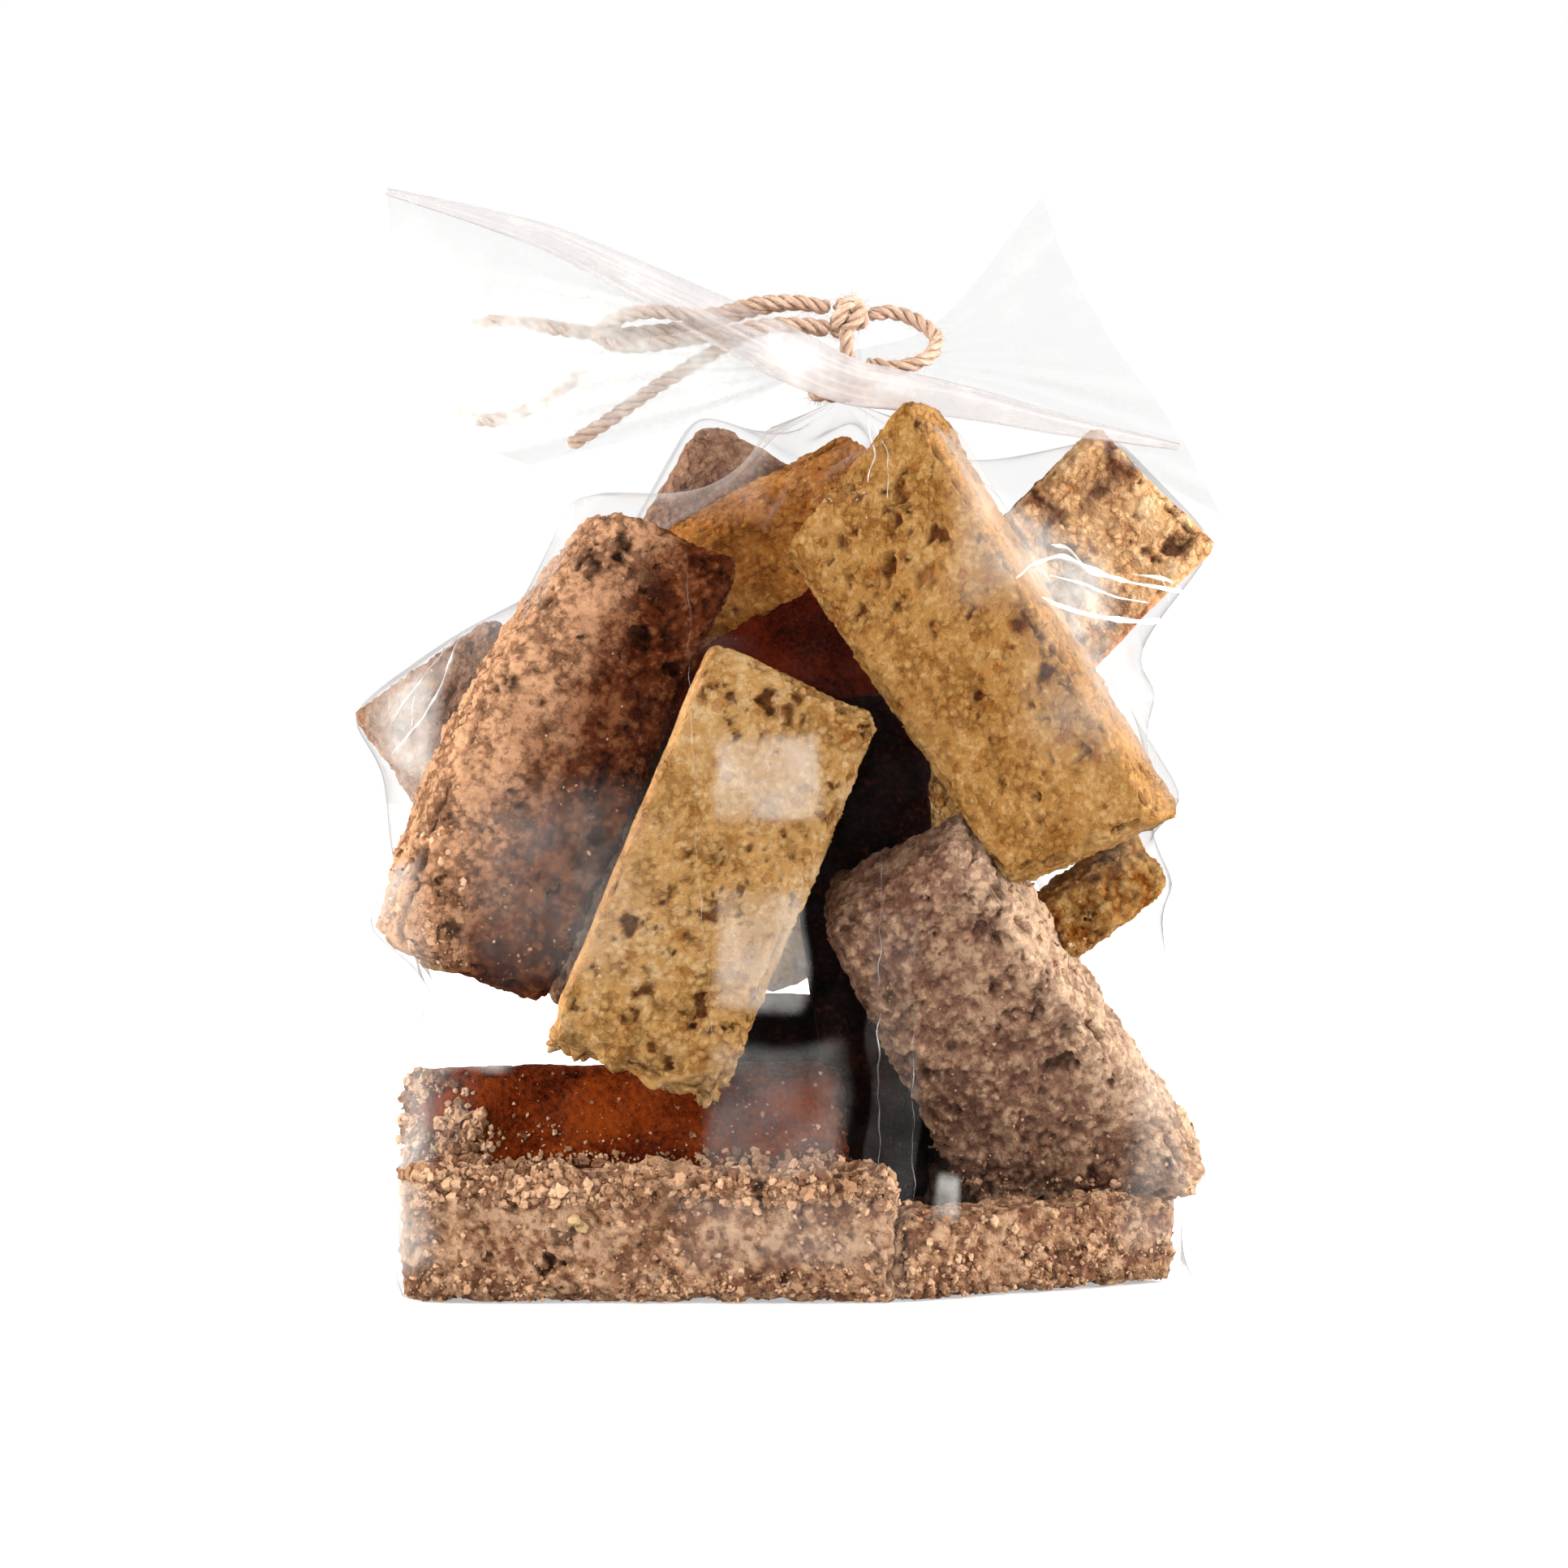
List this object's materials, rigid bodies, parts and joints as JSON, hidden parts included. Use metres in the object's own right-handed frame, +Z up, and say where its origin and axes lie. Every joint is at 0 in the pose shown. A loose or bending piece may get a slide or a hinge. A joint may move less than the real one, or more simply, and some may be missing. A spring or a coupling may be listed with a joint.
{
  "type": "bag of rusks",
  "caption": "Clear film bag packed with oblong rusks, its neck gathered and tied with a jute twine bow under a ruffle of loose film.",
  "frame": {"origin": "on the flat base of the bag, below the middle of its width", "axes": "+Z up, +X to the right seen from the front, -Y towards the front"},
  "size_m": [0.1669, 0.088, 0.2105],
  "materials": {
    "packed_rusks": "clear film drawn over baked rusks",
    "clear_film": "clear glossy film",
    "jute_twine": "dry twisted jute"
  },
  "bodies": {
    "root": {"rusk_bag": "packed_rusks", "film_ruffle": "clear_film", "twine_tie": "jute_twine", "twine_loop_right": "jute_twine", "twine_loop_left": "jute_twine", "twine_tail_long": "jute_twine", "twine_tail_short": "jute_twine"}
  },
  "joints": []
}
